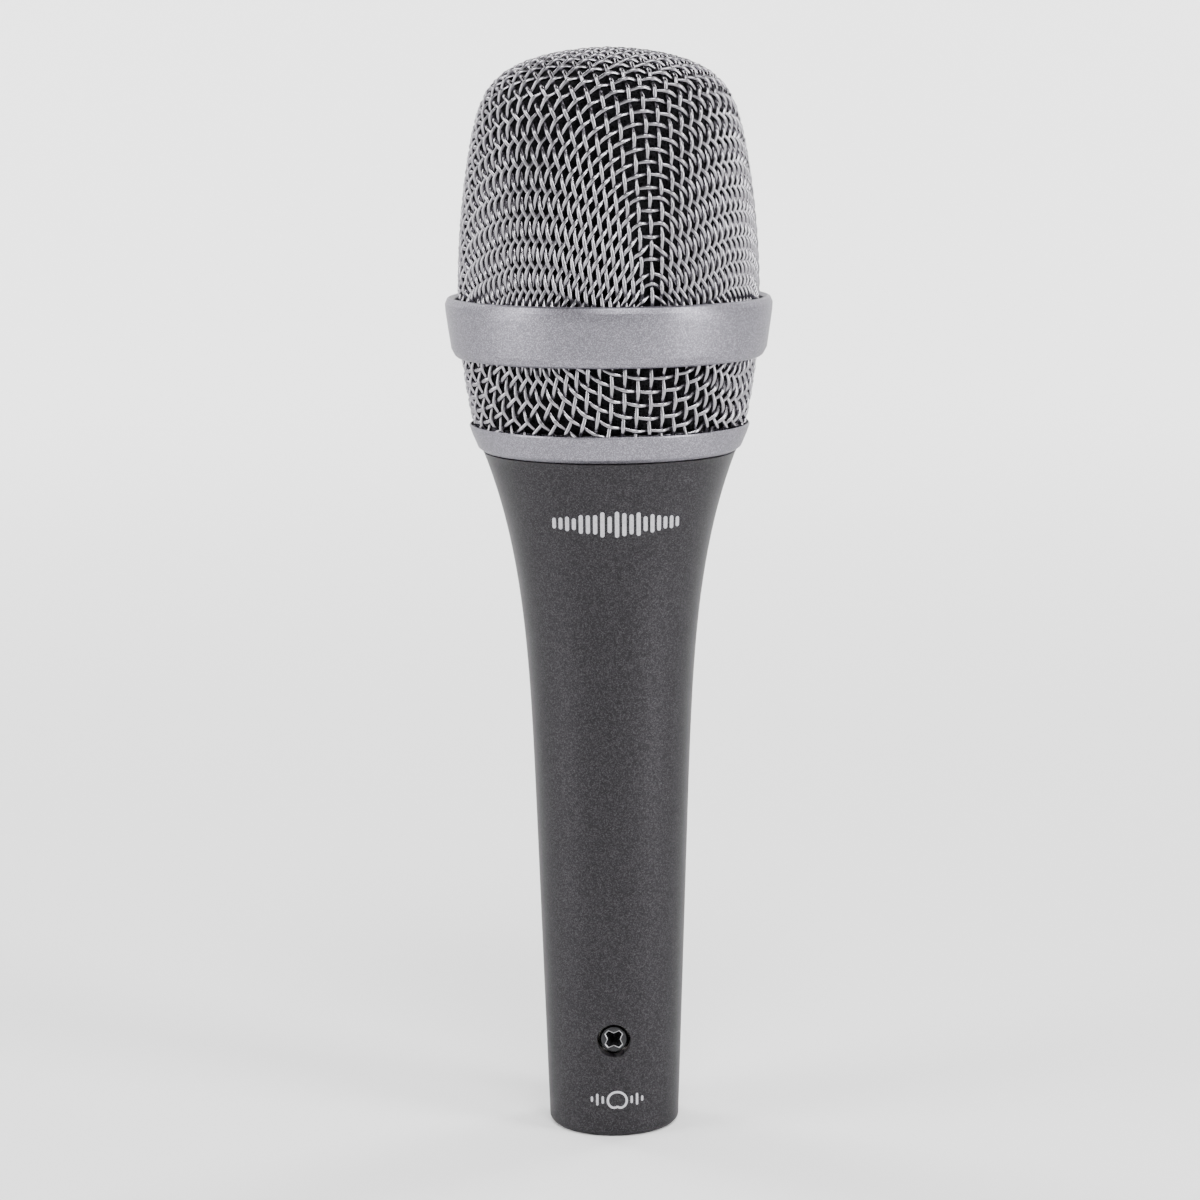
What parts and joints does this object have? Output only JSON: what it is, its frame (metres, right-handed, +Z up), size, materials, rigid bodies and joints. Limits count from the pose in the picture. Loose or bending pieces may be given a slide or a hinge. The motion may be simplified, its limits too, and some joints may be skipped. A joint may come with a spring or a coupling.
{
  "type": "dynamic microphone",
  "caption": "Handheld dynamic vocal microphone: tapered metal handle, wire-mesh head with a centre band that unscrews, rubber-mounted moving-coil capsule and a pin connector insert.",
  "frame": {"origin": "centre of the connector-end rim, on the handle's axis", "axes": "+Z up the handle's axis to the crown of the mesh head; the front, with the connector screw and the printed marks, faces -Y; +X is on the right seen from the front; the connector keyway faces +Y"},
  "size_m": [0.0572, 0.0572, 0.192],
  "materials": {
    "handle_paint": "satin",
    "silver_paint": "satin",
    "wire_mesh": "satin",
    "black_foam": "matte",
    "soft_rubber": "matte",
    "nickel": "satin",
    "moulded_black": "matte",
    "black_steel": "satin",
    "plated_steel": "satin",
    "magnet_plate": "satin",
    "grey_felt": "matte",
    "copper_wire": "satin",
    "clear_film": "gloss",
    "circuit_board": "satin",
    "gold_plate": "satin",
    "yellow_insulation": "satin",
    "blue_insulation": "satin"
  },
  "bodies": {
    "handle": {"handle_body": "handle_paint", "shock_mount": "soft_rubber", "xlr_shell": "nickel", "xlr_insulator": "moulded_black", "contact_pin_1": "nickel", "contact_pin_2": "nickel", "contact_pin_3": "nickel", "insert_screw": "black_steel", "lead_wire_hot": "yellow_insulation", "lead_wire_cold": "blue_insulation"},
    "windscreen": {"foam_liner": "black_foam"},
    "vent_liner": {"vent_foam": "black_foam"},
    "head": {"collar_ring": "silver_paint", "lower_grille": "wire_mesh", "centre_band": "silver_paint", "upper_grille": "wire_mesh"},
    "capsule": {"rear_chamber": "moulded_black", "capsule_housing": "moulded_black", "rear_felt_ring": "grey_felt", "yoke_cup": "plated_steel", "magnet": "magnet_plate", "top_plate": "plated_steel", "front_felt": "grey_felt", "front_grid": "moulded_black", "terminal_board": "circuit_board", "hot_lug": "gold_plate", "cold_lug": "gold_plate"},
    "moving_coil": {"voice_coil": "copper_wire", "diaphragm": "clear_film"}
  },
  "joints": [
    {"name": "head_lift", "type": "slide", "parent": "handle", "child": "windscreen", "axis": [0, 0, 1], "range_m": [0, 0.05]},
    {"name": "head_rise", "type": "slide", "parent": "windscreen", "child": "vent_liner", "axis": [0, 0, 1], "range_m": [0, 0.00376]},
    {"name": "head_turn", "type": "hinge", "parent": "vent_liner", "child": "head", "pos_m": [0, 0, 0.1248], "axis": [0, 0, 1], "range_deg": [0, 1350]},
    {"name": "capsule_float", "type": "slide", "parent": "handle", "child": "capsule", "axis": [0, 0, 1], "range_m": [-0.0008, 0.0008], "stiffness_N_per_m": 2500, "deforming": ["shock_mount"]},
    {"name": "diaphragm_travel", "type": "slide", "parent": "capsule", "child": "moving_coil", "axis": [0, 0, 1], "range_m": [-0.0003, 0.0003], "stiffness_N_per_m": 1000}
  ],
  "couplings": [
    {"joint": "head_rise", "follows": "head_turn", "m_per_rad": 0.00015915}
  ]
}
